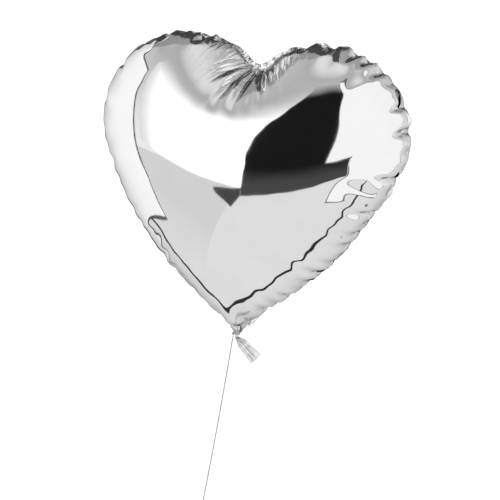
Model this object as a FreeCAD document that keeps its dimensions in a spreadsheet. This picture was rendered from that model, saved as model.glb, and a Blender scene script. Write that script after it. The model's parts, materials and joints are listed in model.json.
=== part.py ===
import FreeCAD, Part
import math
import os
import Sketcher

# A heart-shaped foil balloon, inflated, with its neck gathered and tied off by a string.
# Frame: the origin is where the string grips the neck, +Z runs up the heart's line of symmetry and
# the front panel faces -Y. Sizes are in millimetres and degrees.

SIZES = {
    # seam line of the inflated heart, right half
    "lobe_offset": 86,
    "lobe_height": 259.5,
    "lobe_radius": 95,
    "side_radius": 300,
    "tip_height": 30,
    "tip_radius": 20,
    "cleft_radius": 7,
    # dome of each panel: its highest point, and how fast a level narrows towards it
    "crown_height": 215,
    "dome_depth": 106,
    "crown_power": 0.52,
    # the film is drawn thicker than the real one, which is about 0.05
    "film": 0.8,
    "seam_width": 6.5,
    "seam_film": 0.4,
    # neck, gathered into a bundle where it is tied
    "neck_radius": 2.6,
    "neck_bottom": -3.6,
    "neck_straight": 3.2,
    "neck_top": 20,
    "neck_top_radius": 12,
    # self-sealing valve: two films that lie flat between the panels
    "valve_film": 0.4,
    "valve_gap": 0.05,
    "valve_root_width": 4,
    "valve_width": 22,
    "valve_flare_start": 13,
    "valve_flare_end": 24,
    "valve_top": 125,
    # tail: the end of the neck, below the tie
    "tail_film": 0.45,
    "tail_pivot_offset": 1,
    "tail_pivot_drop": 6.6,
    "tail_lean": 50,
    "tail_root_radius": 2.5,
    "tail_shoulder": 10,
    "tail_shoulder_width": 13.5,
    "tail_length": 37,
    "tail_end_width": 18,
    # string: wraps round the neck and their knot
    "string_diameter": 2,
    "wrap_radius": 3.62,
    "wrap_pitch": 1.8,
    "knot_offset": 3.55,
    "knot_drop": 0.85,
    "knot_width": 4.6,
    # string: the bead-like turn where it leaves the knot, then the strand held taut from below
    "lead_drop": 4.6,
    "lead_diameter": 2.3,
    "strand_gap": 1.35,
    "strand_lean": 4.5,
    "strand_upper_run": 105,
    "strand_lower_run": 135,
    "strand_turn": 2,
    "arc_share": 0.45,
    # string: knot and loop at the lower end
    "end_knot_width": 5.2,
    "end_loop_radius": 9,
    "end_loop_rise": 2,
}

# Levels of the dome where a heart-shaped section is drawn, as shares of the dome's depth.
LEVELS = (0, 0.2, 0.4, 0.6, 0.76, 0.88, 0.955, 0.99)
FRONT, BACK = 1, -1

# Formulas that several features of the strand share.
ARC_REACH = "Sizes.arc_share * Sizes.strand_upper_run"
STRAND_TURN = "(Sizes.strand_turn * 1 deg)"

# Numbers for the points of an edge, and for a sketch's own origin and axes.
START, END, CENTRE = 1, 2, 3
ORIGIN = (-1, 1)
ACROSS_AXIS, UP_AXIS = -1, -2

doc = FreeCAD.newDocument("foil_balloon")


def make_sheet():
    sheet = doc.addObject("Spreadsheet::Sheet", "Sizes")
    levels = {f"level_{i}": share for i, share in enumerate(LEVELS)}
    for row, (alias, value) in enumerate({**SIZES, **levels}.items(), start=1):
        sheet.set(f"A{row}", alias)
        sheet.set(f"B{row}", str(value))
        sheet.setAlias(f"B{row}", alias)
    doc.recompute()
    return sheet


SHEET = make_sheet()


def value_of(expression):
    """What a formula of the sheet's cells comes to."""
    return float(SHEET.evalExpression(expression))


# ------------------------------------------------------------ bodies and sketches

def make_body(label):
    body = doc.addObject("PartDesign::Body", label)
    body.Label = label
    return body


def make_sketch(body, name, plane, height=None):
    """A sketch on one of the body's own origin planes, or at a height above it."""
    sketch = body.newObject("Sketcher::SketchObject", name)
    origin_plane = next(f for f in body.Origin.OriginFeatures if f.Role == plane)
    sketch.AttachmentSupport = [(origin_plane, "")]
    sketch.MapMode = "FlatFace"
    if height is not None:
        sketch.setExpression("AttachmentOffset.Base.z", height)
    return sketch


def constrain(sketch, *constraint):
    return sketch.addConstraint(Sketcher.Constraint(*constraint))


def drive(sketch, name, formula, *constraint):
    """A dimension that follows a formula of the sheet's cells."""
    index = constrain(sketch, *constraint, value_of(formula))
    sketch.renameConstraint(index, name)
    sketch.setExpression(f"Constraints.{name}", formula)


def place(sketch, name, point, across, up):
    """Hold a point of the sketch at two formulas, or on an axis where one is None."""
    if across is None:
        constrain(sketch, "PointOnObject", *point, UP_AXIS)
    else:
        drive(sketch, f"{name}_across", across, "DistanceX", *ORIGIN, *point)
    if up is None:
        constrain(sketch, "PointOnObject", *point, ACROSS_AXIS)
    else:
        drive(sketch, f"{name}_up", up, "DistanceY", *ORIGIN, *point)


def polygon(body, name, plane, corners):
    """A closed outline through corners, each given as two formulas."""
    sketch = make_sketch(body, name, plane)
    points = [FreeCAD.Vector(*(value_of(c) if c else 0 for c in corner), 0) for corner in corners]
    for i, point in enumerate(points):
        sketch.addGeometry(Part.LineSegment(point, points[(i + 1) % len(points)]))
    for i, corner in enumerate(corners):
        constrain(sketch, "Coincident", i, END, (i + 1) % len(corners), START)
        place(sketch, f"corner_{i}", (i, START), *corner)
    return sketch


def circle_sketch(body, name, plane, radius, across=None, up=None):
    sketch = make_sketch(body, name, plane)
    centre = FreeCAD.Vector(*(value_of(c) if c else 0 for c in (across, up)), 0)
    sketch.addGeometry(Part.Circle(centre, FreeCAD.Vector(0, 0, 1), value_of(radius)))
    place(sketch, "centre", (0, CENTRE), across, up)
    drive(sketch, "radius", radius, "Radius", 0)
    return sketch


def arc(centre, radius, start, end):
    circle = Part.Circle(FreeCAD.Vector(*centre, 0), FreeCAD.Vector(0, 0, 1), radius)
    return Part.ArcOfCircle(circle, start, end)


def turn_about_axis(body, name, sketch, angle=360, towards_front=False):
    feature = body.newObject("PartDesign::Revolution", name)
    feature.Profile = sketch
    feature.ReferenceAxis = (sketch, ["V_Axis"])
    feature.Angle = angle
    feature.Reversed = towards_front
    return feature


def pad(body, name, sketch, length, towards_front=True):
    feature = body.newObject("PartDesign::Pad", name)
    feature.Profile = sketch
    feature.setExpression("Length", length)
    feature.Reversed = not towards_front
    return feature


# ------------------------------------------------------------ foil panels

def side_centre(lobe, from_lobe, tip, from_tip):
    """Centre of the long side arc, at its distances from the centres of the lobe and of the tip."""
    gap = math.dist(lobe, tip)
    along = (from_lobe ** 2 - from_tip ** 2 + gap ** 2) / (2 * gap)
    off = math.sqrt(from_lobe ** 2 - along ** 2)
    unit_x, unit_z = (tip[0] - lobe[0]) / gap, (tip[1] - lobe[1]) / gap
    return lobe[0] + along * unit_x + off * unit_z, lobe[1] + along * unit_z - off * unit_x


def heart_arcs(lobe, tip, lobe_radius, side_radius, tip_radius, cleft_radius):
    """The six tangent arcs of a heart: cleft, lobe, side, tip, other side, other lobe."""
    cleft = 0, lobe[1] + math.sqrt((lobe_radius + cleft_radius) ** 2 - lobe[0] ** 2)
    side = side_centre(lobe, side_radius - lobe_radius, tip, side_radius - tip_radius)
    to_cleft = math.atan2(cleft[1] - lobe[1], cleft[0] - lobe[0])
    to_lobe = math.atan2(lobe[1] - side[1], lobe[0] - side[0])
    to_tip = math.atan2(tip[1] - side[1], tip[0] - side[0])

    other_side, other_lobe = (-side[0], side[1]), (-lobe[0], lobe[1])
    return [
        arc(cleft, cleft_radius, -to_cleft, to_cleft - math.pi),
        arc(lobe, lobe_radius, to_lobe, to_cleft),
        arc(side, side_radius, to_tip, to_lobe),
        arc(tip, tip_radius, -math.pi - to_tip, to_tip),
        arc(other_side, side_radius, math.pi - to_lobe, math.pi - to_tip),
        arc(other_lobe, lobe_radius, math.pi - to_cleft, math.pi - to_lobe),
    ]


def heart_sketch(body, name, level, depth, growth="0"):
    """A heart at one level of a dome: the seam's heart, scaled about the crown and grown outwards."""
    share = f"(1 - Sizes.level_{level} ^ 2) ^ Sizes.crown_power"
    height = f"Sizes.crown_height + (Sizes.{{}}_height - Sizes.crown_height) * {share}"
    lobe_x, lobe_z = f"Sizes.lobe_offset * {share}", height.format("lobe")
    tip_z = height.format("tip")
    radii = [f"Sizes.{part}_radius * {share} + {growth}" for part in ("lobe", "side", "tip")]
    radii.append(f"Sizes.cleft_radius * {share} - ({growth})")
    sketch = make_sketch(body, name, "XZ_Plane", f"{depth} * Sizes.level_{level}")
    lobe_centre, tip_centre = (value_of(lobe_x), value_of(lobe_z)), (0, value_of(tip_z))
    sketch.addGeometry(heart_arcs(lobe_centre, tip_centre, *(value_of(r) for r in radii)))
    cleft, lobe, side, tip, other_side, other_lobe = range(6)
    for join in (
        (cleft, END, lobe, END),
        (lobe, START, side, END),
        (side, START, tip, END),
        (tip, START, other_side, END),
        (other_side, START, other_lobe, END),
        (other_lobe, START, cleft, START),
    ):
        constrain(sketch, "Tangent", *join)
    constrain(sketch, "Symmetric", other_lobe, CENTRE, lobe, CENTRE, UP_AXIS)
    constrain(sketch, "Equal", other_lobe, lobe)
    constrain(sketch, "Equal", other_side, side)
    place(sketch, "lobe", (lobe, CENTRE), lobe_x, lobe_z)
    place(sketch, "tip", (tip, CENTRE), None, tip_z)
    for edge, radius in zip((lobe, side, tip, cleft), radii):
        drive(sketch, f"radius_{edge}", radius, "Radius", edge)
    return sketch


def loft(body, kind, name, depth, growth):
    """A heart-shaped dome through all levels, added to the body or cut from it."""
    sections = [heart_sketch(body, f"{name}_{i}", i, depth, growth) for i in range(len(LEVELS))]
    feature = body.newObject(kind, name)
    feature.Profile = sections[0]
    feature.Sections = sections[1:]
    return feature


def foil_panel(label, side):
    """One domed panel, with its half of the sealed margin and of the gathered neck."""
    body = make_body(label)
    margin = heart_sketch(body, "margin_outline", 0, "0", "Sizes.seam_width")
    pad(body, "margin", margin, "Sizes.seam_film", side == FRONT)
    loft(body, "PartDesign::AdditiveLoft", "dome", f"{side} * Sizes.dome_depth", "0")
    neck = polygon(body, "neck_outline", "XZ_Plane", [
        (None, "Sizes.neck_bottom"),
        ("Sizes.neck_radius", "Sizes.neck_bottom"),
        ("Sizes.neck_radius", "Sizes.neck_straight"),
        ("Sizes.neck_top_radius", "Sizes.neck_top"),
        (None, "Sizes.neck_top"),
    ])
    turn_about_axis(body, "neck", neck, 180, side == FRONT)
    inside = f"{side} * (Sizes.dome_depth - Sizes.film)"
    loft(body, "PartDesign::SubtractiveLoft", "cavity", inside, "-Sizes.film")
    slot = body.newObject("PartDesign::Pocket", "valve_slot")
    slot.Profile = upright_strip(body, "slot_outline", "valve_root_width", "neck_bottom", "neck_top")
    slot.setExpression("Length", "Sizes.valve_film + Sizes.valve_gap")
    slot.Reversed = side == FRONT
    return body


def upright_strip(body, name, width, low, high):
    half = f"Sizes.{width} / 2"
    low, high = f"Sizes.{low}", f"Sizes.{high}"
    return polygon(body, name, "XZ_Plane", [(f"-{half}", low), (half, low), (half, high), (f"-{half}", high)])


# ------------------------------------------------------------ valve and tail

def mirrored_outline(right_side):
    """Corners of an outline that is symmetric about the vertical axis, from its right half."""
    return right_side + [(f"-({across})", up) for across, up in reversed(right_side)]


def valve_film(label, side):
    body = make_body(label)
    outline = polygon(body, "outline", "XZ_Plane", mirrored_outline([
        ("Sizes.valve_root_width / 2", "Sizes.neck_bottom"),
        ("Sizes.valve_root_width / 2", "Sizes.valve_flare_start"),
        ("Sizes.valve_width / 2", "Sizes.valve_flare_end"),
        ("Sizes.valve_width / 2", "Sizes.valve_top"),
    ]))
    outline.setExpression("AttachmentOffset.Base.z", f"{side} * Sizes.valve_gap")
    pad(body, "film", outline, "Sizes.valve_film", side == FRONT)
    return body


def tail_film(label, side):
    """One film of the neck's end, narrow at the tie and flaring downwards, turned to the right."""
    body = make_body(label)
    sheet = polygon(body, "outline", "XZ_Plane", mirrored_outline([
        ("Sizes.tail_root_radius", None),
        ("Sizes.tail_shoulder_width / 2", "-Sizes.tail_shoulder"),
        ("Sizes.tail_end_width / 2", "-Sizes.tail_length"),
    ]))
    pad(body, "sheet", sheet, "Sizes.tail_film", side == FRONT)
    root = circle_sketch(body, "root_outline", "XZ_Plane", "Sizes.tail_root_radius")
    pad(body, "root", root, "Sizes.tail_film", side == FRONT)
    pivot = FreeCAD.Vector(value_of("Sizes.tail_pivot_offset"), 0, -value_of("Sizes.tail_pivot_drop"))
    lean = FreeCAD.Rotation(FreeCAD.Vector(0, 1, 0), -value_of("Sizes.tail_lean"))
    body.Placement = FreeCAD.Placement(pivot, lean)
    return body


# ------------------------------------------------------------ string

def ball(body, name, width, across="0", forward="0", up="0"):
    """A round turn or knot of string, with its centre given by formulas."""
    sphere = body.newObject("PartDesign::AdditiveSphere", name)
    sphere.setExpression("Radius", f"{width} / 2")
    sphere.setExpression("Placement.Base.x", across)
    sphere.setExpression("Placement.Base.y", f"-({forward})")
    sphere.setExpression("Placement.Base.z", up)
    return sphere


def string_neck_tie():
    """Three wraps round the neck, and the knot that holds them, at the front left."""
    body = make_body("string_neck_tie")
    outline = make_sketch(body, "wraps_outline", "XZ_Plane")
    radius, pitch, half_string = (value_of(formula) for formula in (
        "Sizes.wrap_radius", "Sizes.wrap_pitch", "Sizes.string_diameter / 2"))
    waist = math.asin(pitch / 2 / half_string)
    outline.addGeometry([
        arc((radius, pitch), half_string, -waist, math.pi + waist),
        arc((radius, 0), half_string, -waist, waist),
        arc((radius, 0), half_string, math.pi - waist, math.pi + waist),
        arc((radius, -pitch), half_string, math.pi - waist, 2 * math.pi + waist),
    ])
    upper, outer, inner, lower = range(4)
    constrain(outline, "Coincident", upper, START, outer, END)
    constrain(outline, "Coincident", upper, END, inner, START)
    constrain(outline, "Coincident", lower, START, inner, END)
    constrain(outline, "Coincident", lower, END, outer, START)
    constrain(outline, "Coincident", inner, CENTRE, outer, CENTRE)
    for edge in (outer, inner, lower):
        constrain(outline, "Equal", edge, upper)
    for name, edge, height in (("upper", upper, "Sizes.wrap_pitch"), ("middle", outer, None),
                               ("lower", lower, "-Sizes.wrap_pitch")):
        place(outline, name, (edge, CENTRE), "Sizes.wrap_radius", height)
    drive(outline, "string", "Sizes.string_diameter / 2", "Radius", upper)
    turn_about_axis(body, "wraps", outline)
    ball(body, "knot", "Sizes.knot_width", "-Sizes.knot_offset", "Sizes.knot_offset", "-Sizes.knot_drop")
    return body


def lead_centre():
    offset = value_of("Sizes.knot_offset")
    return FreeCAD.Vector(-offset, -offset, -value_of("Sizes.lead_drop"))


def string_lead():
    """The short round turn of string under the knot, which the strand tilts about."""
    body = make_body("string_lead")
    ball(body, "turn", "Sizes.lead_diameter")
    body.Placement = FreeCAD.Placement(lead_centre(), FreeCAD.Rotation())
    return body


def string_strand():
    """The taut strand: two straight runs joined by one large tangent arc."""
    body = make_body("string_strand")
    radius = value_of(f"({ARC_REACH}) / tan({STRAND_TURN} / 2)")
    print(f"string_strand: arc radius {radius:.0f} at a turn of {value_of('Sizes.strand_turn'):.1f} degrees")
    corners = [(None, f"-Sizes.strand_upper_run + {ARC_REACH}"), below_bend(ARC_REACH),
               below_bend("Sizes.strand_lower_run")]
    arc_start, arc_end, bottom = (FreeCAD.Vector(*(value_of(c) if c else 0 for c in corner), 0)
                                  for corner in corners)
    half_turn = math.radians(value_of("Sizes.strand_turn")) / 2
    outwards = FreeCAD.Vector(math.cos(half_turn), -math.sin(half_turn), 0)
    arc_middle = arc_start + FreeCAD.Vector(-radius, 0, 0) + outwards * radius
    route = make_sketch(body, "route", "XZ_Plane")
    route.addGeometry([
        Part.LineSegment(FreeCAD.Vector(), arc_start),
        Part.Arc(arc_start, arc_middle, arc_end),
        Part.LineSegment(arc_end, bottom),
    ])
    upper_line, bend, lower_line = range(3)
    constrain(route, "Coincident", upper_line, START, *ORIGIN)
    constrain(route, "Tangent", upper_line, END, bend, END)
    constrain(route, "Coincident", bend, START, lower_line, START)
    place(route, "arc_start", (upper_line, END), *corners[0])
    place(route, "arc_end", (lower_line, START), *corners[1])
    place(route, "bottom", (lower_line, END), *corners[2])
    pipe = body.newObject("PartDesign::AdditivePipe", "tube")
    pipe.Profile = circle_sketch(body, "section", "XY_Plane", "Sizes.string_diameter / 2")
    pipe.Spine = (route, [])
    body.Placement = strand_placement()
    return body


def below_bend(distance):
    """The point of the strand's route at a distance past its bend."""
    return f"-sin({STRAND_TURN}) * {distance}", f"-Sizes.strand_upper_run - cos({STRAND_TURN}) * {distance}"


def strand_placement():
    lean = FreeCAD.Rotation(FreeCAD.Vector(0, 1, 0), value_of("Sizes.strand_lean"))
    start = lead_centre() + lean.multVec(FreeCAD.Vector(0, 0, -value_of("Sizes.strand_gap")))
    return FreeCAD.Placement(start, lean)


def string_end_loop():
    """The knot at the strand's lower end, and the loop tied below it."""
    body = make_body("string_end_loop")
    flat_end = "acos(Sizes.string_diameter / Sizes.end_knot_width)"
    knot = ball(body, "knot", "Sizes.end_knot_width", up=f"-Sizes.end_knot_width / 2 * sin({flat_end})")
    knot.setExpression("Angle2", flat_end)
    loop = body.newObject("PartDesign::AdditiveTorus", "loop")
    loop.setExpression("Radius1", "Sizes.end_loop_radius")
    loop.setExpression("Radius2", "Sizes.string_diameter / 2")
    loop.Placement.Rotation = FreeCAD.Rotation(FreeCAD.Vector(1, 0, 0), 90)
    loop.setExpression("Placement.Base.z", f"-Sizes.end_knot_width / 2 * (1 + sin({flat_end})) "
                       "+ Sizes.end_loop_rise - Sizes.end_loop_radius")
    strand = strand_placement()
    end = FreeCAD.Vector(*(value_of(c) for c in below_bend("Sizes.strand_lower_run")), 0)
    turn = FreeCAD.Rotation(FreeCAD.Vector(0, 1, 0), value_of("Sizes.strand_lean + Sizes.strand_turn"))
    body.Placement = FreeCAD.Placement(strand.multVec(FreeCAD.Vector(end.x, 0, end.y)), turn)
    return body


# ------------------------------------------------------------ build, check, write

def build():
    return [
        foil_panel("front_foil_panel", FRONT),
        foil_panel("back_foil_panel", BACK),
        valve_film("valve_front_film", FRONT),
        valve_film("valve_back_film", BACK),
        tail_film("tail_front_film", FRONT),
        tail_film("tail_back_film", BACK),
        string_neck_tie(),
        string_lead(),
        string_strand(),
        string_end_loop(),
    ]


def check(bodies):
    for item in doc.Objects:
        if {"Invalid", "Error"} & set(item.State):
            raise RuntimeError(f"{item.Label} failed: {item.State}")
    for body in bodies:
        shape = body.Shape
        if shape.isNull() or not shape.isValid() or len(shape.Solids) != 1:
            raise RuntimeError(f"{body.Label} is not one valid solid")
        box = shape.BoundBox
        print(f"{body.Label}: volume {shape.Volume:.1f}, "
              f"x {box.XMin:.1f} to {box.XMax:.1f}, y {box.YMin:.1f} to {box.YMax:.1f}, "
              f"z {box.ZMin:.1f} to {box.ZMax:.1f}")


def check_strand(strand):
    """The tube's volume against its section times the length of its route."""
    route = next(item for item in strand.Group if item.Label.startswith("route"))
    expected = route.Shape.Length * math.pi * (value_of("Sizes.string_diameter") / 2) ** 2
    print(f"string_strand: route {route.Shape.Length:.1f}, volume {strand.Shape.Volume:.1f} "
          f"against {expected:.1f}")


parts = build()
doc.recompute()
check(parts)
check_strand(next(body for body in parts if body.Label == "string_strand"))
os.makedirs("parts", exist_ok=True)
for part in parts:
    part.Shape.exportStep(f"parts/{part.Label}.step")
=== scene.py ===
import json
import math

import bpy
import numpy as np
from mathutils import Matrix, Vector
from mathutils.geometry import delaunay_2d_cdt
from mathutils.kdtree import KDTree


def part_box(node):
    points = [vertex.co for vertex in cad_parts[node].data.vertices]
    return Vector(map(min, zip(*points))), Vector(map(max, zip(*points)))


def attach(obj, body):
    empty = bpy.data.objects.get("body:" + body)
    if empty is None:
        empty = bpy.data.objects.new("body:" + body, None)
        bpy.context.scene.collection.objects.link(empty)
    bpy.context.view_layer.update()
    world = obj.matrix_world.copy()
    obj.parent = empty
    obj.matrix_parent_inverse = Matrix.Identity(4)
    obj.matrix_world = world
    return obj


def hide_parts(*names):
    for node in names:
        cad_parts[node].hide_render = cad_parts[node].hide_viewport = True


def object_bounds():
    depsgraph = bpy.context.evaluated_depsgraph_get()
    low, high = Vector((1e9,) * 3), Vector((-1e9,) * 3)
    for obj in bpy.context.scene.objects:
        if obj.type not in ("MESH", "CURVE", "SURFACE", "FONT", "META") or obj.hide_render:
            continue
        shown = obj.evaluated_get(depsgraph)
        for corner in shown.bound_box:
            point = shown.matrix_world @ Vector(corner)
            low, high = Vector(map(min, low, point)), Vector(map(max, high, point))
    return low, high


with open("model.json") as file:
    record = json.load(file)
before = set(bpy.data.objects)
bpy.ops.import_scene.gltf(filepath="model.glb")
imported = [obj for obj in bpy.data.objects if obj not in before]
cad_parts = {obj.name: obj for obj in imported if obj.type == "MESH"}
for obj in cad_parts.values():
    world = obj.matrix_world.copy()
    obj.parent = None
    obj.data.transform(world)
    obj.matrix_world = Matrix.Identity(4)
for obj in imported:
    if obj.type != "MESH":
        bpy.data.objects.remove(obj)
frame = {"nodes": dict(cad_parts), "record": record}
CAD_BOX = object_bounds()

# Looks of the heart-shaped foil balloon: two films inflated by a small simulation, the gathered
# neck and its tail, the twisted string, and a pale studio for the films to reflect.
# Everything is in metres, in the frame of the CAD model.

TIE = Vector(next(m["pos_m"] for m in frame["record"]["mounts"] if m["name"] == "neck_tie"))


# ------------------------------------------------------------ camera

VIEW_AZIMUTH, VIEW_ELEVATION, VIEW_ROLL = 20, 10, 5    # degrees
VIEW_DISTANCE = 2.4
VIEW_WIDTH = 0.606                                       # seen across at the balloon
TIE_IN_VIEW = 0.474, 0.335                               # shares from the left and from the bottom


def direction(azimuth, elevation):
    """Unit vector from the balloon; azimuth 0 is towards -Y and 90 towards +X, in degrees."""
    a, e = math.radians(azimuth), math.radians(elevation)
    return Vector((math.sin(a) * math.cos(e), -math.cos(a) * math.cos(e), math.sin(e)))


def make_camera():
    back = direction(VIEW_AZIMUTH, VIEW_ELEVATION)
    level = Vector((-back.y, back.x, 0)).normalized()
    upright = back.cross(level)
    roll = math.radians(VIEW_ROLL)
    right = level * math.cos(roll) + upright * math.sin(roll)
    up = upright * math.cos(roll) - level * math.sin(roll)
    data = bpy.data.cameras.new("camera")
    data.sensor_width = 36
    data.lens = data.sensor_width * VIEW_DISTANCE / VIEW_WIDTH
    data.clip_start, data.clip_end = 0.05, 2000
    camera = bpy.data.objects.new("camera", data)
    aim = TIE + right * (0.5 - TIE_IN_VIEW[0]) * VIEW_WIDTH + up * (0.5 - TIE_IN_VIEW[1]) * VIEW_WIDTH
    turn = Matrix((right, up, back)).transposed().to_4x4()
    camera.matrix_world = Matrix.Translation(aim + back * VIEW_DISTANCE) @ turn
    bpy.context.scene.collection.objects.link(camera)
    bpy.context.scene.camera = camera


# ------------------------------------------------------------ node helpers

def new_material(name):
    """A material with its Principled shader, and a helper that adds nodes to it."""
    material = bpy.data.materials.new(name)
    material.use_nodes = True
    tree = material.node_tree
    shader = tree.nodes["Principled BSDF"]

    def add(kind, inputs=(), **settings):
        node = tree.nodes.new(f"ShaderNode{kind}")
        for key, value in settings.items():
            setattr(node, key, value)
        for key, value in dict(inputs).items():
            if isinstance(value, bpy.types.NodeSocket):
                tree.links.new(value, node.inputs[key])
            else:
                node.inputs[key].default_value = value
        return node

    def join(source, target):
        tree.links.new(source, target)

    return material, shader, add, join


def maths(add, operation, *values, clamp=False):
    node = add("Math", dict(enumerate(values)), operation=operation)
    node.use_clamp = clamp
    return node.outputs[0]


def fade(add, value, low, high, start=0.0, end=1.0):
    """A smooth step of a value, from one number to another."""
    node = add("MapRange", {0: value, 1: low, 2: high, 3: start, 4: end}, interpolation_type="SMOOTHSTEP")
    return node.outputs[0]


def bump(add, height, distance, strength=1.0, under=None):
    inputs = {"Height": height, "Distance": distance, "Strength": strength}
    if under is not None:
        inputs["Normal"] = under
    return add("Bump", inputs).outputs[0]


# ------------------------------------------------------------ materials

SILVER = 0.73, 0.73, 0.735


def foil_material(name, roughness):
    """Aluminised film: a mirror with faint roller lines, creases that run in from the seam, and
    a heat-sealed margin with fine ribs. The seam attribute holds the way along the seam, the
    distance inwards from it, and how much the film gathers there."""
    material, shader, add, join = new_material(name)
    shader.inputs["Metallic"].default_value = 1.0
    shader.inputs["Specular Tint"].default_value = (0.55, 0.55, 0.55, 1)
    seam = add("Attribute", attribute_name="seam").outputs["Vector"]
    split = add("SeparateXYZ", {0: seam})
    along, inwards, gather = split.outputs
    place = add("TexCoord").outputs["Object"]

    # creases, thin and long, square to the seam
    reach = fade(add, inwards, 0.004, maths(add, "MULTIPLY_ADD", gather, 0.085, 0.030), 1.0, 0.0)
    stretched = add("CombineXYZ", {0: maths(add, "MULTIPLY", along, 105.0),
                                   1: maths(add, "MULTIPLY", inwards, 12.0), 2: gather})
    creases = add("TexNoise", {"Vector": stretched.outputs[0], "Scale": 1.0, "Detail": 3.0,
                               "Roughness": 0.55, "Distortion": 0.35}).outputs[0]
    ridges = maths(add, "ABSOLUTE", maths(add, "SUBTRACT", creases, 0.5))
    deeper = maths(add, "MULTIPLY_ADD", gather, 4.5, 0.9)
    crease_height = maths(add, "MULTIPLY", maths(add, "MULTIPLY", ridges, reach), deeper)

    # heat-sealed margin
    margin = fade(add, inwards, -0.0004, 0.0004, 1.0, 0.0)
    ribs = add("TexWave", {"Vector": add("CombineXYZ", {0: along, 1: inwards}).outputs[0],
                           "Scale": 160.0, "Distortion": 1.5, "Detail": 1.0},
               wave_type="BANDS", bands_direction="Y").outputs[1]
    rib_height = maths(add, "MULTIPLY", ribs, margin)

    # roller lines and slow unevenness of the film
    drawn_out = add("Mapping", {"Vector": place, "Scale": (260, 260, 6)}).outputs[0]
    lines = add("TexNoise", {"Vector": drawn_out, "Scale": 1.0, "Detail": 2.0}).outputs[0]
    slow = add("TexNoise", {"Vector": place, "Scale": 22.0, "Detail": 2.0}).outputs[0]

    normal = bump(add, slow, 0.0004, 0.12)
    normal = bump(add, lines, 0.00002, 0.35, normal)
    normal = bump(add, crease_height, 0.0016, 0.55, normal)
    normal = bump(add, rib_height, 0.00012, 0.6, normal)
    join(normal, shader.inputs["Normal"])

    # the film dulls where it is creased or sealed, and its colour varies a little
    worn = maths(add, "ADD", maths(add, "MULTIPLY", crease_height, 0.12),
                 maths(add, "MULTIPLY", margin, 0.10))
    smear = maths(add, "MULTIPLY_ADD", slow, 0.03, roughness - 0.015)
    join(maths(add, "ADD", smear, worn, clamp=True), shader.inputs["Roughness"])
    duller = tuple(0.975 * c for c in SILVER)
    colour = add("MixRGB", {0: fade(add, slow, 0.35, 0.65), 1: (*SILVER, 1), 2: (*duller, 1)})
    join(colour.outputs[0], shader.inputs["Base Color"])
    return material


def string_material():
    """Light grey twisted yarn: fine fibres laid at a slant along each ply."""
    material, shader, add, join = new_material("twisted_string")
    shader.inputs["Roughness"].default_value = 0.85
    shader.inputs["Sheen Weight"].default_value = 0.3
    thread = add("Attribute", attribute_name="thread").outputs["Vector"]
    fibres = add("TexWave", {"Vector": thread, "Scale": 900.0, "Distortion": 6.0, "Detail": 2.0,
                             "Detail Scale": 1.5}, bands_direction="DIAGONAL").outputs[1]
    place = add("TexCoord").outputs["Object"]
    patches = add("TexNoise", {"Vector": place, "Scale": 180.0, "Detail": 3.0}).outputs[0]
    yarn = add("MixRGB", {0: fade(add, patches, 0.3, 0.7),
                          1: (0.44, 0.44, 0.44, 1), 2: (0.60, 0.60, 0.59, 1)})
    dark = add("MixRGB", {0: maths(add, "MULTIPLY", fibres, 0.35),
                          1: yarn.outputs[0], 2: (0.25, 0.25, 0.25, 1)})
    join(dark.outputs[0], shader.inputs["Base Color"])
    normal = bump(add, fibres, 0.00008, 0.6)
    join(bump(add, patches, 0.0002, 0.3, normal), shader.inputs["Normal"])
    return material


def valve_material():
    """Milky, unprinted film of the self-sealing valve."""
    material, shader, add, join = new_material("valve_film")
    shader.inputs["Transmission Weight"].default_value = 0.5
    shader.inputs["IOR"].default_value = 1.4
    place = add("TexCoord").outputs["Object"]
    haze = add("TexNoise", {"Vector": place, "Scale": 60.0, "Detail": 4.0}).outputs[0]
    drawn_out = add("Mapping", {"Vector": place, "Scale": (400, 400, 12)}).outputs[0]
    streaks = add("TexNoise", {"Vector": drawn_out, "Scale": 1.0, "Detail": 2.0}).outputs[0]
    join(fade(add, haze, 0.3, 0.7, 0.25, 0.5), shader.inputs["Roughness"])
    colour = add("MixRGB", {0: haze, 1: (0.86, 0.87, 0.88, 1), 2: (0.74, 0.76, 0.78, 1)})
    join(colour.outputs[0], shader.inputs["Base Color"])
    join(bump(add, streaks, 0.0001, 0.5), shader.inputs["Normal"])
    return material


# ------------------------------------------------------------ mesh helpers

def mesh_piece(name, points, faces, body, material, replaced=()):
    mesh = bpy.data.meshes.new(name)
    mesh.from_pydata([tuple(p) for p in points], [], [tuple(f) for f in faces])
    mesh.update()
    mesh.polygons.foreach_set("use_smooth", [True] * len(mesh.polygons))
    mesh.materials.append(material)
    piece = bpy.data.objects.new(name, mesh)
    bpy.context.scene.collection.objects.link(piece)
    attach(piece, body)
    if replaced:
        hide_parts(*replaced)
    return piece


def add_vectors(piece, name, vectors):
    attribute = piece.data.attributes.new(name, "FLOAT_VECTOR", "POINT")
    attribute.data.foreach_set("vector", np.asarray(vectors, np.float32).ravel())


def grid_faces(rows, columns, closed=False):
    """Quads of a grid of points stored row by row; closed joins the last column to the first."""
    count = columns if closed else columns - 1
    faces = []
    for r in range(rows - 1):
        for c in range(count):
            a, b = r * columns + c, r * columns + (c + 1) % columns
            faces.append((a, b, b + columns, a + columns))
    return faces


# ------------------------------------------------------------ string

STRING = 0.002
LEAD = (Vector(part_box("string_lead")[0]) + Vector(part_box("string_lead")[1])) / 2

TOP_LEAN, END_LEAN = math.radians(4.5), math.radians(6.5)     # of the strand, from upright


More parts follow.
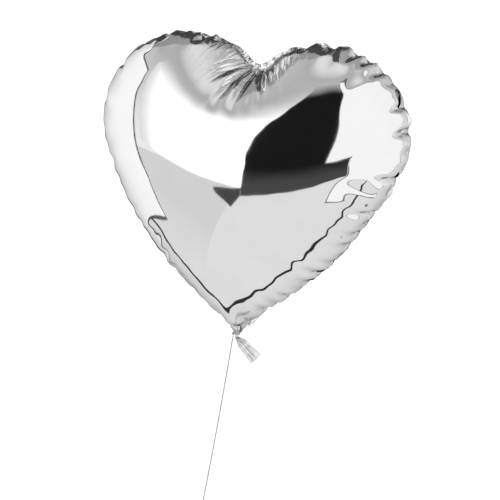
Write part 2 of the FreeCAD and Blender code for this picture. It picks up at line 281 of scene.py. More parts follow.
def strand_route():
    """Where the strand leaves the lead, the point its two end directions meet at, and its lower
    end at the knot."""
    low, high = (Vector(corner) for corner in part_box("string_strand"))
    radius, y = STRING / 2, (low.y + high.y) / 2
    start = Vector((high.x - radius * math.cos(TOP_LEAN), y, high.z - radius * math.sin(TOP_LEAN)))
    end = Vector((low.x + radius * math.cos(END_LEAN), y, low.z + radius * math.sin(END_LEAN)))
    down_first = Vector((-math.sin(TOP_LEAN), 0, -math.cos(TOP_LEAN)))
    down_last = Vector((-math.sin(END_LEAN), 0, -math.cos(END_LEAN)))
    run = end - start
    reach = (run.x * down_last.z - run.z * down_last.x) / (down_first.x * down_last.z
                                                           - down_first.z * down_last.x)
    return [start, start + down_first * reach, end]


STRAND_ROUTE = strand_route()


def spline_points(route):
    """Points read from the smooth NURBS curve that has the route's points as control points."""
    curve = bpy.data.curves.new("route", "CURVE")
    curve.dimensions = "3D"
    spline = curve.splines.new("NURBS")
    spline.points.add(len(route) - 1)
    for point, place in zip(spline.points, route):
        point.co = (*place, 1)
    spline.order_u = 3
    spline.use_endpoint_u = True
    curve.resolution_u = 64
    holder = bpy.data.objects.new("route", curve)
    mesh = bpy.data.meshes.new_from_object(holder)
    points = np.array([v.co for v in mesh.vertices], float)
    bpy.data.objects.remove(holder)
    bpy.data.meshes.remove(mesh)
    return points


def spaced(points, step):
    along = np.concatenate([[0], np.cumsum(np.linalg.norm(np.diff(points, axis=0), axis=1))])
    at = np.linspace(0, along[-1], max(2, int(round(along[-1] / step)) + 1))
    return np.stack([np.interp(at, along, points[:, k]) for k in range(3)], axis=1), at


def frames_along(points):
    """Two directions square to the line at each point, carried along it without twist."""
    tangents = np.gradient(points, axis=0)
    tangents /= np.linalg.norm(tangents, axis=1)[:, None]
    side = np.cross(tangents[0], (0.3, 0.9, 0.1))
    sides = []
    for tangent in tangents:
        side = side - tangent * (side @ tangent)
        side = side / np.linalg.norm(side)
        sides.append(side)
    sides = np.array(sides)
    return sides, np.cross(tangents, sides)


PLIES, PLY_SIDES = 3, 10
LAY = 3.1 * STRING                 # length of one turn of the plies
PLY_RADIUS = 0.5                   # shares of the string's radius
PLY_OFFSET = 0.5


def rope_geometry(points):
    """A three-ply string along a line, rounded at both ends: its points, faces and thread
    coordinates."""
    radius = STRING / 2
    line, along = spaced(points, LAY / 14)
    sides, ups = frames_along(line)
    turn = 2 * math.pi * along / LAY
    vertices, faces, threads = [], [], []
    around = np.arange(PLY_SIDES) * 2 * math.pi / PLY_SIDES
    near_end = np.minimum(along, along[-1] - along) / radius
    rounded = np.sqrt(np.clip(1 - (1 - np.clip(near_end, 0, 1)) ** 2, 0.02, 1))
    for ply in range(PLIES):
        angle = turn + 2 * math.pi * ply / PLIES
        out = sides * np.cos(angle)[:, None] + ups * np.sin(angle)[:, None]
        cross = ups * np.cos(angle)[:, None] - sides * np.sin(angle)[:, None]
        centre = line + out * (radius * PLY_OFFSET * rounded)[:, None]
        ring = (out[:, None] * np.cos(around)[None, :, None] + cross[:, None] * np.sin(around)[None, :, None])
        points_here = centre[:, None] + ring * (radius * PLY_RADIUS * rounded)[:, None, None]
        base = ply * len(line) * PLY_SIDES
        vertices.append(points_here.reshape(-1, 3))
        threads.append(np.stack(np.broadcast_arrays(
            around[None] * radius * PLY_RADIUS, along[:, None], ply * 0.01), axis=2).reshape(-1, 3))
        faces += [tuple(base + i for i in face) for face in grid_faces(len(line), PLY_SIDES, closed=True)]
        last = base + (len(line) - 1) * PLY_SIDES
        faces += [tuple(range(base + PLY_SIDES - 1, base - 1, -1)), tuple(range(last, last + PLY_SIDES))]
    return np.concatenate(vertices), faces, np.concatenate(threads)


def rope_piece(name, lines, body, material, replaced=()):
    """One piece made of one or more lengths of string."""
    points, faces, threads, count = [], [], [], 0
    for line in lines:
        p, f, t = rope_geometry(np.array(line, float))
        faces += [tuple(i + count for i in face) for face in f]
        count += len(p)
        points.append(p)
        threads.append(t)
    piece = mesh_piece(name, np.concatenate(points), faces, body, material, replaced)
    add_vectors(piece, "thread", np.concatenate(threads))
    return piece


def knot_line(centre, width, height, lean=0.0, turn=0.0):
    """The path of a small overhand knot pulled tight, inside a box of that width and height."""
    t = np.linspace(0.35, 2 * math.pi - 0.35, 90)
    x = np.sin(t) + 2 * np.sin(2 * t)
    y = np.cos(t) - 2 * np.cos(2 * t)
    z = -np.sin(3 * t)
    across = (width - STRING) / 2 / 3
    line = np.stack([x * across, z * across * 1.3, y * (height - STRING) / 2 / 3], axis=1)
    spin = np.array(Matrix.Rotation(turn, 3, "Z") @ Matrix.Rotation(lean, 3, "Y"))
    return line @ spin.T + np.array(centre)


WRAP_RADIUS, WRAP_PITCH, WRAP_TURNS = 0.00362, 0.0018, 3
KNOT = Vector((-0.00355, -0.00355, -0.00085))
KNOT_WIDTH, KNOT_HEIGHT = 0.0046, 0.0046


def neck_tie(material):
    """Three wraps round the neck, and the knot at the front left."""
    angle = np.linspace(0, WRAP_TURNS * 2 * math.pi, 48 * WRAP_TURNS) + math.radians(225)
    height = np.linspace(0.5, -0.5, len(angle)) * WRAP_PITCH * (WRAP_TURNS - 0.35)
    wraps = np.stack([WRAP_RADIUS * np.cos(angle), WRAP_RADIUS * np.sin(angle), height], axis=1)
    knot = knot_line(KNOT, KNOT_WIDTH, KNOT_HEIGHT, turn=math.radians(-45))
    return rope_piece("neck_tie_string", [wraps, knot], "balloon", material, ["string_neck_tie"])


def string_lead(material):
    """The tight round turn of string right under the knot, which the strand tilts about."""
    radius, pitch, turns = 0.0004, 0.0008, 1.25
    t = np.linspace(0, 2 * math.pi * turns, 40)
    turn = np.stack([radius * np.cos(t), radius * np.sin(t), np.linspace(0.5, -0.5, len(t)) * pitch], axis=1)
    return rope_piece("string_lead_turn", [turn + np.array(LEAD)], "lead", material, ["string_lead"])


def string_end(material):
    """The knot at the strand's lower end and the loop below it."""
    end = Vector(STRAND_ROUTE[-1])
    down = (end - Vector(STRAND_ROUTE[1])).normalized()
    across = Vector((-down.z, 0, down.x))
    knot_length, knot_width, radius = 0.005, 0.0052, 0.009
    knot_centre = end + down * knot_length / 2
    lean = math.atan2(-down.x, -down.z)
    knot = knot_line(knot_centre, knot_width, knot_length, lean=lean)
    t = np.linspace(-math.pi, math.pi, 100)
    slim = 0.86 + 0.14 * np.cos(t / 2)
    loop_centre = end + down * (radius + 0.003)
    loop = np.array([np.array(loop_centre) + np.array(down) * radius * math.cos(a)
                     + np.array(across) * radius * math.sin(a) * s
                     + np.array((0, 0.0011, 0)) * math.sin(a / 2) for a, s in zip(t, slim)])
    return rope_piece("string_end_loop_tied", [knot, loop], "strand", material, ["string_end_loop"])


def make_string(material):
    route = spline_points(STRAND_ROUTE)
    strand = rope_piece("string_strand_taut", [route], "strand", material, ["string_strand"])
    pieces = [string_lead(material), string_end(material)]
    neck_tie(material)


# ------------------------------------------------------------ flat pattern of the films

LOBE_X, LOBE_Z, LOBE_RADIUS = 0.080, 0.281, 0.152        # the seal line before inflation
CLEFT_RADIUS, SIDE_RADIUS = 0.018, 0.34
NECK_WIDTH, NECK_LENGTH = 0.026, 0.012
MARGIN = 0.0065
COARSE = 0.012                                           # first size of a mesh edge
THIN = 0.00012                     # thickness of the tail's films, and half the gap in the margin


def arc(centre, radius, start, end, count):
    t = np.linspace(start, end, count)
    return np.stack([centre[0] + radius * np.cos(t), centre[1] + radius * np.sin(t)], 1)


def heart_half():
    """Right half of the seal line from the cleft to the tie: cleft, lobe, side, then the neck."""
    cleft_z = LOBE_Z + math.sqrt((LOBE_RADIUS + CLEFT_RADIUS) ** 2 - LOBE_X ** 2)
    to_lobe = math.atan2(LOBE_Z - cleft_z, LOBE_X)
    from_cleft = math.atan2(cleft_z - LOBE_Z, -LOBE_X)
    inset = SIDE_RADIUS - LOBE_RADIUS

    def side_centre(angle):
        return LOBE_X - inset * math.cos(angle), LOBE_Z - inset * math.sin(angle)

    low, high = -1.4, 0.6          # the angle where the lobe's arc hands over to the side's
    for _ in range(60):
        angle = (low + high) / 2
        centre = side_centre(angle)
        reach = SIDE_RADIUS ** 2 - (NECK_LENGTH - centre[1]) ** 2
        if centre[0] + math.sqrt(max(reach, 0)) > NECK_WIDTH / 2:
            high = angle
        else:
            low = angle
    end = math.atan2(NECK_LENGTH - centre[1], NECK_WIDTH / 2 - centre[0])
    line = np.concatenate([
        arc((0, cleft_z), CLEFT_RADIUS, -math.pi / 2, to_lobe, 12),
        arc((LOBE_X, LOBE_Z), LOBE_RADIUS, from_cleft, angle, 60),
        arc(centre, SIDE_RADIUS, angle, end, 60),
        [[NECK_WIDTH / 2, NECK_LENGTH], [NECK_WIDTH / 2, 0]],
    ])
    keep = np.concatenate([[True], np.linalg.norm(np.diff(line, axis=0), axis=1) > 1e-4])
    return line[keep]


def evenly(line, count):
    along = np.concatenate([[0], np.cumsum(np.linalg.norm(np.diff(line, axis=0), axis=1))])
    t = np.linspace(0, along[-1], count)
    return np.stack([np.interp(t, along, line[:, k]) for k in range(2)], 1)


def inside(points, outline):
    x, z = points.T
    result = np.zeros(len(points), bool)
    for (x0, z0), (x1, z1) in zip(outline, np.roll(outline, -1, 0)):
        crossing = x0 + (x1 - x0) * (z - z0) / (z1 - z0 + 1e-30)
        result ^= ((z0 > z) != (z1 > z)) & (x < crossing)
    return result


def distance_to(points, outline):
    best = np.full(len(points), np.inf)
    for start, end in zip(outline, np.roll(outline, -1, 0)):
        run = end - start
        t = np.clip(((points - start) @ run) / max(run @ run, 1e-12), 0, 1)
        best = np.minimum(best, np.linalg.norm(points - start - t[:, None] * run, axis=1))
    return best


def edges_of(faces):
    """The edges of triangles, and for each side of each triangle, which edge it is."""
    pairs = np.sort(np.concatenate([faces[:, [0, 1]], faces[:, [1, 2]], faces[:, [2, 0]]]), 1)
    edges, which = np.unique(pairs, axis=0, return_inverse=True)
    return edges, which.reshape(3, len(faces))


FRONT, BACK, SEAM, EDGE = range(4)


class Films:
    """Two films joined along the seal line, with a flat sealed margin outside it."""

    def __init__(self):
        half = heart_half()
        length = np.linalg.norm(np.diff(half, axis=0), axis=1).sum()
        right = evenly(half, int(round(length / COARSE)) + 1)
        left = right[::-1] * (-1, 1)
        steps = max(2, int(round(NECK_WIDTH / COARSE)))
        bottom = np.stack([np.linspace(right[-1, 0], left[0, 0], steps + 1)[1:-1],
                           np.zeros(steps - 1)], 1)
        ring = np.concatenate([right, bottom, left[:-1]])
        self.ring = ring
        flat, faces = self.triangulate(ring)
        count, inner = len(ring), len(flat) - len(ring)
        other_side = np.concatenate([np.arange(count), np.arange(count, count + inner) + inner])
        self.flat = np.concatenate([flat, flat[count:]])
        self.layer = np.concatenate([np.full(count, SEAM), np.full(inner, FRONT), np.full(inner, BACK)])
        self.faces = np.concatenate([faces, other_side[faces][:, ::-1]])
        self.side = np.repeat([FRONT, BACK], len(faces))
        self.add_margin(len(right), len(left))
        depth = np.where(self.layer <= BACK, distance_to(self.flat, ring), 0)
        sign = np.select([self.layer == FRONT, self.layer == BACK], [-1.0, 1.0], 0.0)
        first_bulge = 0.12
        self.x = np.stack([self.flat[:, 0], sign * first_bulge * depth, self.flat[:, 1]], 1)
        self.prepare()

    def triangulate(self, ring):
        low, high = ring.min(0), ring.max(0)
        rows = np.arange(low[1], high[1], COARSE * math.sqrt(3) / 2)
        grid = np.array([[x + (COARSE / 2 if j % 2 else 0), z]
                         for j, z in enumerate(rows) for x in np.arange(low[0], high[0], COARSE)])
        grid += np.random.default_rng(3).uniform(-0.12, 0.12, grid.shape) * COARSE
        grid = grid[inside(grid, ring)]
        grid = grid[distance_to(grid, ring) > 0.62 * COARSE]
        points = np.concatenate([ring, grid])
        made = delaunay_2d_cdt([Vector(p) for p in points], [], [list(range(len(ring)))], 1, 1e-6)
        number = np.array([sources[0] for sources in made[3]])
        faces = number[np.array([list(t) for t in made[2]])]
        a, b, c = (points[faces[:, k]] for k in range(3))
        turned = (b[:, 0] - a[:, 0]) * (c[:, 1] - a[:, 1]) < (b[:, 1] - a[:, 1]) * (c[:, 0] - a[:, 0])
        faces[turned] = faces[turned][:, ::-1]
        return points, faces

    def add_margin(self, right_count, left_count):
        """A strip outside the seal line, from the tie on the left over the cleft to the tie."""
        count = len(self.ring)
        run = np.concatenate([np.arange(count - left_count + 1, count), np.arange(right_count)])
        along = np.roll(self.ring, -1, 0) - np.roll(self.ring, 1, 0)
        along /= np.linalg.norm(along, axis=1)[:, None]
        out = np.stack([-along[:, 1], along[:, 0]], 1)
        if (out * (self.ring - self.ring.mean(0))).sum() < 0:
            out = -out
        out = out[run]
        out[0], out[-1] = (-1, 0), (1, 0)
        first = len(self.flat)
        self.flat = np.concatenate([self.flat, self.ring[run] + MARGIN * out])
        self.layer = np.concatenate([self.layer, np.full(len(run), EDGE)])
        a, b = run[:-1], run[1:]
        outer_a = np.arange(first, first + len(run) - 1)
        outer_b = outer_a + 1
        strip = np.concatenate([np.stack([a, outer_b, b], 1), np.stack([a, outer_a, outer_b], 1)])
        self.faces = np.concatenate([self.faces, strip])
        self.side = np.concatenate([self.side, np.full(len(strip), EDGE)])

    def prepare(self):
        """Rest lengths of edges and of the diagonals across them, grouped for solving."""
        self.edges, which = edges_of(self.faces)
        opposite = np.stack([self.faces[:, 2], self.faces[:, 0], self.faces[:, 1]]).ravel()
        order = np.argsort(which.ravel(), kind="stable")
        uses = np.bincount(which.ravel(), minlength=len(self.edges))
        first = np.concatenate([[0], np.cumsum(uses)[:-1]])
        paired = np.where((uses == 2) & ~(self.layer[self.edges] == SEAM).all(1))[0]
        across = np.stack([opposite[order][first[paired]], opposite[order][first[paired] + 1]], 1)
        self.edge_groups = self.grouped(self.edges)
        self.bend_groups = self.grouped(across)
        corners = self.flat[self.faces]
        u, w = corners[:, 1] - corners[:, 0], corners[:, 2] - corners[:, 0]
        area = abs(u[:, 0] * w[:, 1] - u[:, 1] * w[:, 0]) / 2
        self.mass = sum(np.bincount(self.faces[:, k], area / 3, len(self.x)) for k in range(3))
        self.velocity = np.zeros_like(self.x)
        self.tied = np.where(self.flat[:, 1] < 1e-6)[0]
        self.right = self.flat[:, 0] > 1e-6
        self.left = self.flat[:, 0] < -1e-6

    def grouped(self, pairs):
        """Pairs of points in groups where no point comes twice, with their flat distances."""
        rest = np.linalg.norm(self.flat[pairs[:, 0]] - self.flat[pairs[:, 1]], axis=1)
        random = np.random.default_rng(1)
        left, groups = np.arange(len(pairs)), []
        while len(left):
            taken, chosen, candidates = np.zeros(len(self.x), bool), [], left
            for _ in range(7):
                if not len(candidates):
                    break
                rank = random.permutation(len(candidates))
                best = np.full(len(self.x), len(candidates))
                for end in range(2):
                    np.minimum.at(best, pairs[candidates, end], rank)
                won = (best[pairs[candidates]] == rank[:, None]).all(1)
                chosen.append(candidates[won])
                taken[pairs[candidates[won]]] = True
                candidates = candidates[~won]
                candidates = candidates[~taken[pairs[candidates]].any(1)]
            chosen = np.concatenate(chosen)
            groups.append((pairs[chosen, 0], pairs[chosen, 1], rest[chosen]))
            left = np.setdiff1d(left, chosen, assume_unique=True)
        return groups

    def pressure(self):
        """The area vector of the closed films that falls to each point, per unit of mass."""
        faces = self.faces[self.side != EDGE]
        a, b, c = (self.x[faces[:, k]] for k in range(3))
        areas = np.cross(b - a, c - a) / 6
        force = [sum(np.bincount(faces[:, j], areas[:, k], len(self.x)) for j in range(3)) for k in range(3)]
        return np.stack(force, 1) / self.mass[:, None]

    def solve(self, groups, pull, push):
        """Move pairs to their rest distance: pull where they are too far apart, push where near."""
        for i, j, rest in groups:
            apart = self.x[j] - self.x[i]
            length = np.sqrt((apart * apart).sum(1)) + 1e-12
            excess = (length - rest) / length
            move = apart * (np.where(excess > 0, excess * pull, excess * push) * 0.5)[:, None]
            self.x[i] += move
            self.x[j] -= move

    def hold(self, gathered):
        """Keep the end of the neck gathered where the string ties it, and the lobes apart."""
        fold_height, fold_length, gap = 0.0018, 0.0042, 0.0004
        across = self.flat[self.tied, 0]
        self.x[self.tied] = np.stack([across * (1 - 0.8 * gathered),
                                      gathered * fold_height * np.sin(across / fold_length),
                                      np.zeros(len(across))], 1)
        self.x[self.right, 0] = np.maximum(self.x[self.right, 0], gap)
        self.x[self.left, 0] = np.minimum(self.x[self.left, 0], -gap)

    def inflate(self, steps, pushes, passes, squeeze, stiffness, gathered=1.0, noise=0.0):
        """Let the pressure move the films, with a push that goes from the first number to the
        last. The film can't stretch. It gives way to squeezing, and the noise lets it buckle."""
        random = np.random.default_rng(0)
        for step in range(steps):
            share = step / (steps - 1)
            push = pushes[0] * (pushes[1] / pushes[0]) ** share
            before = self.x.copy()
            self.x += self.velocity * 0.9 + self.pressure() * push
            if noise:
                self.x += random.normal(0, noise * (1 - share), self.x.shape)
            self.hold(gathered)
            for i in range(passes):
                self.solve(self.edge_groups, 1.0, squeeze)
                if i % 2 == 0:
                    self.solve(self.bend_groups, 0.0, stiffness)
                self.hold(gathered)
            self.velocity = self.x - before

    def refine(self):
        """Cut each triangle in four."""
        edges, which = edges_of(self.faces)
        a, b = self.layer[edges].T
        layer = np.where(a == SEAM, b, a)
        for side in (FRONT, BACK):
            used = np.zeros(len(edges), bool)
            used[which[:, self.side == side].ravel()] = True
            others = np.zeros(len(edges), bool)
            others[which[:, self.side != side].ravel()] = True
            layer[(a == SEAM) & (b == SEAM) & used & ~others] = side
        count = len(self.x)
        self.flat = np.concatenate([self.flat, self.flat[edges].mean(1)])
        self.x = np.concatenate([self.x, self.x[edges].mean(1)])
        self.layer = np.concatenate([self.layer, layer])
        p, q, r = self.faces.T
        pq, qr, rp = which + count
        self.faces = np.concatenate([np.stack(t, 1) for t in
                                     ((p, pq, rp), (q, qr, pq), (r, rp, qr), (pq, qr, rp))])
        self.side = np.tile(self.side, 4)

    def smooth(self, passes, weight):
        """Even out small bumps without shrinking: each point moves to its neighbours' mean, then back."""
        edges, _ = edges_of(self.faces)
        count = np.bincount(edges.ravel(), minlength=len(self.x))[:, None]
        for i in range(2 * passes):
            total = np.stack([np.bincount(edges[:, 0], self.x[edges[:, 1], k], len(self.x))
                              + np.bincount(edges[:, 1], self.x[edges[:, 0], k], len(self.x))
                              for k in range(3)], 1)
            step = weight if i % 2 == 0 else -1.03 * weight
            self.x += (total / count - self.x) * step[:, None]

    def calm(self, passes, at_seam, in_face):
        """Smooth the films, more in the faces than near the seam and the cleft, where they gather.
        Gives each point's distance inwards from the seam."""
        inwards = distance_to(self.flat, self.ring)
        from_cleft = np.linalg.norm(self.flat - self.ring[0], axis=1)
        face_start, face_full, cleft_start, cleft_full = 0.008, 0.038, 0.05, 0.11
        face = np.clip((inwards - face_start) / (face_full - face_start), 0, 1)
        weight = at_seam + (in_face - at_seam) * face
        weight *= np.clip((from_cleft - cleft_start) / (cleft_full - cleft_start), 0.1, 1)
        weight[self.layer == EDGE] = 0.25
        weight[self.layer == SEAM] = 0.0
        self.smooth(passes, weight)
        return inwards


def inflated_films():
    """The films after inflation, and how far inwards from the seam each of their points is."""
    films = Films()
    films.inflate(300, (4e-3, 1e-3), passes=8, squeeze=0.1, stiffness=0.02, gathered=0.3, noise=2e-5)
    films.inflate(200, (1e-3, 2e-4), passes=10, squeeze=0.3, stiffness=0.02, gathered=0.7)
    films.refine()
    films.prepare()
    films.inflate(150, (5e-4, 1e-4), passes=10, squeeze=0.5, stiffness=0.08, noise=1e-5)
    films.refine()
    films.prepare()
    films.inflate(100, (2e-4, 2e-5), passes=12, squeeze=0.8, stiffness=0.08, noise=1e-5)
    films.calm(55, at_seam=0.45, in_face=0.6)
    films.refine()
    inwards = films.calm(6, at_seam=0.3, in_face=0.6)
    return films, inwards


GATHER_REACH = 0.095               # of the wrinkles, along the seam from the cleft


def seam_coordinates(films, inwards):
    """For each point: the way along the seam, the distance inwards, and how much it gathers."""
    ring = films.ring
    length = np.linalg.norm(np.roll(ring, -1, 0) - ring, axis=1).sum()
    dense = evenly(np.concatenate([ring, ring[:1]]), 3000)
    tree = KDTree(len(dense))
    for i, point in enumerate(dense):
        tree.insert((*point, 0), i)
    tree.balance()
    nearest = np.array([tree.find((*p, 0))[1] for p in films.flat])
    signed = np.where(films.layer == EDGE, -1, 1) * inwards
    from_cleft = np.minimum(nearest, len(dense) - nearest) / len(dense) * length
    gather = np.exp(-((from_cleft / GATHER_REACH) ** 2))
    return np.stack([nearest / len(dense) * length, signed, gather], 1)


def ripple_margin(films, seam):
    """The sealed margin waves in and out, as it is longer than the seam it is gathered on."""
    height, period, calm_neck = 0.0011, 0.0172, 0.03
    edge = films.layer == EDGE
    along = seam[edge, 0]
    wave = np.sin(along * 2 * math.pi / period + 1.3 * np.sin(along * 41) + 0.8 * np.sin(along * 97))
    out = np.clip(-seam[edge, 1] / MARGIN, 0, 1)
    films.x[edge, 1] += height * wave * out * np.clip(films.flat[edge, 1] / calm_neck, 0, 1)


def film_piece(films, seam, side, material):
    """One film with its half of the margin, which lies a hair off the other film's."""
    own = films.faces[films.side == side]
    margin = films.faces[films.side == EDGE]
    outwards = -1 if side == FRONT else 1
    faces = np.concatenate([own, margin if side == BACK else margin[:, ::-1]])
    used, faces = np.unique(faces, return_inverse=True)
    points = films.x[used].copy()
    points[films.layer[used] == EDGE, 1] += outwards * THIN
    name = {FRONT: "front", BACK: "back"}[side]
    piece = mesh_piece(f"{name}_film", points, faces.reshape(-1, 3), "balloon", material,
                       [f"{name}_foil_panel"])
    add_vectors(piece, "seam", seam[used])
    return piece


# ------------------------------------------------------------ neck and tail

def neck_gather(material):
    """The pleated bundle of film that the string squeezes, from above the wraps to below them."""
    rows, columns, pleats = 24, 120, 11
    top, bottom = 0.0042, -0.0058
    angle = np.linspace(0, 2 * math.pi, columns, endpoint=False)
    points = []
    for i in range(rows):
        share = i / (rows - 1)
        z = top + (bottom - top) * share
        waist = 0.0023 + 0.0006 * (abs(z) / 0.005) ** 2
        if share > 0.85:
            waist *= math.sqrt(max(1 - ((share - 0.85) / 0.15) ** 2, 0.02))
        fold = 0.00028 * np.abs(np.sin(angle * pleats / 2 + 2.2 * z / 0.005)) + 0.0002 * np.sin(3 * angle)
        radius = waist + fold - 0.0002
        points += [(r * math.cos(a), r * math.sin(a), z) for r, a in zip(radius, angle)]
    faces = grid_faces(rows, columns, closed=True)
    piece = mesh_piece("neck_gather", points, faces, "balloon", material)
    add_vectors(piece, "seam", np.tile((0, 0.02, 0), (len(points), 1)))


TAIL_PIVOT = Vector(next(j["pos_m"] for j in frame["record"]["behaviour"]["joints"]
                         if j["name"] == "tail_swing"))
TAIL_LEAN = math.radians(50)
TAIL_LENGTH = 0.037
TAIL_ROOT = 0.0022                 # it starts this far above its pivot, in the gathered neck
TAIL_MARGIN = 0.0016


def tail_film(name, side, material):
    """One film of the neck's end: pleated at the tie, then opening into a nearly flat strip."""
    rows, columns = 90, 61
    down = Vector((math.sin(TAIL_LEAN), 0, -math.cos(TAIL_LEAN)))
    across = Vector((math.cos(TAIL_LEAN), 0, math.sin(TAIL_LEAN)))
    u = np.linspace(-1, 1, columns)
    random = np.random.default_rng(7)
    phases = random.uniform(0, 2 * math.pi, 4)
    points, seam = [], []
    for i in range(rows):
        s = i / (rows - 1)
        along = s * TAIL_LENGTH - TAIL_ROOT
        width = np.interp(s, [0, 0.06, 0.27, 1], [0.0016, 0.0024, 0.0066, 0.0089])
        pleat = 0.0012 * math.exp(-s / 0.11) + 0.00008
        wave = pleat * np.cos(2 * math.pi * 2.5 * u * (1 - 0.25 * s) + phases[0])
        wave += 0.35 * pleat * np.cos(2 * math.pi * 5.5 * u + phases[1] + 3 * s)
        wave += 0.0006 * s * np.sin(2.4 * u + phases[2] + 2.5 * s)
        gap = 0.0001 + 0.0005 * s ** 2 * (1 - u ** 2)
        notch = 0.0004 * np.sin(5 * u + phases[3]) * s
        for k in range(columns):
            place = TAIL_PIVOT + down * (along + notch[k]) + across * width * u[k]
            points.append((place.x, place.y + wave[k] + side * gap[k], place.z))
            seam.append((along, (1 - abs(u[k])) * width - TAIL_MARGIN, 0))
    piece = mesh_piece(f"tail_{name}_sheet", points, grid_faces(rows, columns), "tail", material,
                       [f"tail_{name}_film"])
    add_vectors(piece, "seam", seam)
    thickness = piece.modifiers.new("thickness", "SOLIDIFY")
    thickness.thickness = THIN
    thickness.offset = 0
    return piece


# ------------------------------------------------------------ studio

ROOM = Vector((0, 0, 0.19))        # the studio's cards stand round this point
FLOOR_DROP = 0.9                   # the floor lies this far under the string's loop
FLOOR_RADIUS = 400.0
SHEET_GAP = 0.005                  # between the floor and a sheet on it
FRAME_GAP, FRAME_GLOW = 0.05, 0.1  # a softbox's frame stands behind it and is dark
SKY = ((0.0, 1.1), (0.45, 1.0), (0.80, 0.66), (0.90, 0.58), (0.97, 0.92))   # height, glow


def stage_material(name, glow, soft_top=None, soft_left=None):
    """Even glow. soft_top is a share and a glow: over that upper share of the card the glow turns
    into that one. soft_left does the same towards the left edge, and comes with soft_top only."""
    material, shader, add, join = new_material(name)
    power = glow
    if soft_top:
        share = add("Attribute", attribute_name="share").outputs["Vector"]
        across, up, _ = add("SeparateXYZ", {0: share}).outputs
        power = fade(add, up, 1 - soft_top[0], 1.0, glow, soft_top[1])
    if soft_left:
        power = maths(add, "MINIMUM", power, fade(add, across, 0.0, soft_left[0], soft_left[1], glow))
    emission = add("Emission", {"Color": (1, 1, 1, 1), "Strength": power})
    join(emission.outputs[0], material.node_tree.nodes["Material Output"].inputs["Surface"])
    material.node_tree.nodes.remove(shader)
    return material


def stage_card(name, points, rows, columns, material):
    """A sheet that is seen only in reflections and by its light."""
    mesh = bpy.data.meshes.new(name)
    mesh.from_pydata(points, [], grid_faces(rows, columns))
    mesh.materials.append(material)
    thing = bpy.data.objects.new(name, mesh)
    bpy.context.scene.collection.objects.link(thing)
    thing.visible_camera = False
    thing.visible_shadow = False
    return thing


def card(name, azimuths, elevations, distance, glow, soft_top=None, soft_left=None, tilt=0):
    """A curved card round the balloon, between two azimuths and two elevations in degrees. Its
    lower edge is higher on the left than on the right by the tilt."""
    rows = columns = 17
    points, shares = [], []
    for i in range(rows):
        for j in range(columns):
            v, u = i / (rows - 1), j / (columns - 1)
            elevation = elevations[0] + (elevations[1] - elevations[0]) * v + tilt * (1 - u) * (1 - v)
            azimuth = azimuths[0] + (azimuths[1] - azimuths[0]) * u
            points.append(ROOM + direction(azimuth, elevation) * distance)
            shares.append((u, v, 0))
    material = stage_material(name, glow, soft_top, soft_left)
    add_vectors(stage_card(name, points, rows, columns, material), "share", shares)


def floor_sheet(name, x_range, y_range, glow, soft_top=None):
    """A flat sheet that lies just over the floor."""
    z = floor_height() + SHEET_GAP
    points = [(x, y, z) for y in y_range for x in x_range]
    thing = stage_card(name, points, 2, 2, stage_material(name, glow, soft_top))
    add_vectors(thing, "share", [(0, 0, 0), (1, 0, 0), (0, 1, 0), (1, 1, 0)])


def framed_card(name, azimuths, elevations, distance, glow, rim, frame_top=None):
    """A softbox with a thin dark frame round it, or only up to frame_top."""
    card(name, azimuths, elevations, distance, glow)
    wide = (azimuths[0] - rim, azimuths[1] + rim)
    tall = (elevations[0] - rim, elevations[1] + rim if frame_top is None else frame_top)
    card(f"{name}_frame", wide, tall, distance + FRAME_GAP, FRAME_GLOW)


def floor_height():
    return CAD_BOX[0].z - FLOOR_DROP


def make_floor():
    low = floor_height()
    count = 64
    turns = [2 * math.pi * i / count for i in range(count)]
    points = [(FLOOR_RADIUS * math.cos(t), FLOOR_RADIUS * math.sin(t), low) for t in turns]
    mesh = bpy.data.meshes.new("floor")
    mesh.from_pydata(points, [], [tuple(range(count))])
    material, shader, add, join = new_material("floor")
    shader.inputs["Base Color"].default_value = (0.8, 0.8, 0.8, 1)
    shader.inputs["Roughness"].default_value = 0.9
    shader.inputs["Emission Color"].default_value = (1, 1, 1, 1)
    shader.inputs["Emission Strength"].default_value = 0.5
    mesh.materials.append(material)
    floor = bpy.data.objects.new("floor", mesh)
    bpy.context.scene.collection.objects.link(floor)


def make_world():
    """Pale all round, with a grey ring high up."""
    world = bpy.data.worlds.new("studio")
    bpy.context.scene.world = world
    world.use_nodes = True
    tree = world.node_tree
    place = tree.nodes.new("ShaderNodeTexCoord")
    split = tree.nodes.new("ShaderNodeSeparateXYZ")
    ramp = tree.nodes.new("ShaderNodeValToRGB")
    elements = [*ramp.color_ramp.elements, *(ramp.color_ramp.elements.new(0.5) for _ in SKY[2:])]
    for element, (height, glow) in zip(elements, SKY):
        element.position = height
        element.color = (glow, glow, glow, 1)
    tree.links.new(place.outputs["Generated"], split.inputs[0])
    tree.links.new(split.outputs[2], ramp.inputs[0])
    tree.links.new(ramp.outputs[0], tree.nodes["Background"].inputs["Color"])


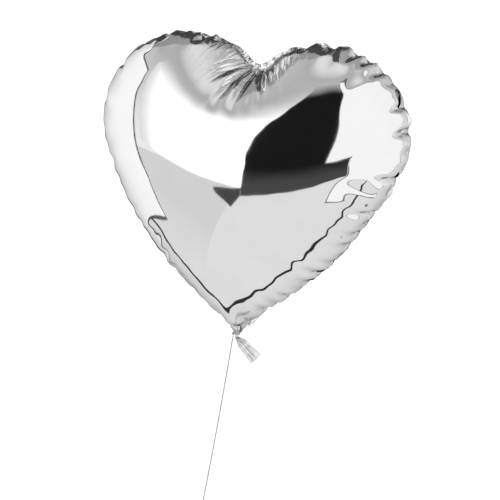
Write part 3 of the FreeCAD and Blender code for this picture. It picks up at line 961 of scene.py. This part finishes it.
def make_studio():
    card("softbox_front_left", (-63, -9), (-16, 60), 3.0, 2.0, soft_top=(0.5, 0.6), soft_left=(0.35, 1.0),
         tilt=12)
    framed_card("softbox_right", (31, 128), (-5, 58), 3.2, 1.25, 1.0)
    framed_card("softbox_low_right", (50, 128), (-32, -4), 1.9, 1.25, 1.0, frame_top=-8)
    framed_card("softbox_left", (-137, -68), (-33, 36), 1.9, 1.3, 1.2)
    card("dark_flag", (-9, 31), (-12, 57), 3.4, 0.012, soft_top=(0.13, 0.5))
    card("dark_base", (-9, 48), (-20, -4), 3.3, 0.08, soft_top=(0.7, 0.012))
    card("dark_base_left", (-23, -14), (-26, -16), 2.9, 0.08, tilt=9)
    card("dark_base_middle", (-14, -9), (-20, -16), 2.9, 0.08, tilt=-6)
    card("back_flag_left", (-160, -138), (-24, 60), 2.2, 0.22)
    card("back_flag_right", (178, 200), (-24, 60), 2.2, 0.22)
    card("back_flag_top", (182, 220), (20, 72), 2.0, 0.09)
    card("back_flag_top_left", (220, 252), (30, 66), 2.0, 0.42)
    card("back_flag_top_right", (148, 182), (30, 66), 2.0, 0.5)
    floor_sheet("floor_left", (-8, -0.8), (-8, 0), 0.88, soft_top=(0.24, 1.0))
    floor_sheet("floor_right", (-0.8, 8), (-8, 0), 1.0)
    floor_sheet("floor_back", (-8, 8), (0.12, 8), 1.0)
    floor_sheet("floor_joint", (-4, 4), (0, 0.12), 0.03)
    make_floor()
    make_world()
    bpy.context.scene.view_settings.view_transform = "Standard"


# ------------------------------------------------------------ build

def build():
    make_camera()
    make_string(string_material())
    foil = foil_material("mirror_film", roughness=0.05)
    tail = foil_material("tail_film", roughness=0.30)
    films, inwards = inflated_films()
    seam = seam_coordinates(films, inwards)
    ripple_margin(films, seam)
    for side in (FRONT, BACK):
        film_piece(films, seam, side, foil)
    neck_gather(foil)
    tail_film("front", -1, tail)
    tail_film("back", 1, tail)
    valve = valve_material()
    for node in ("valve_front_film", "valve_back_film"):
        frame["nodes"][node].data.materials.clear()
        frame["nodes"][node].data.materials.append(valve)
    make_studio()


build()
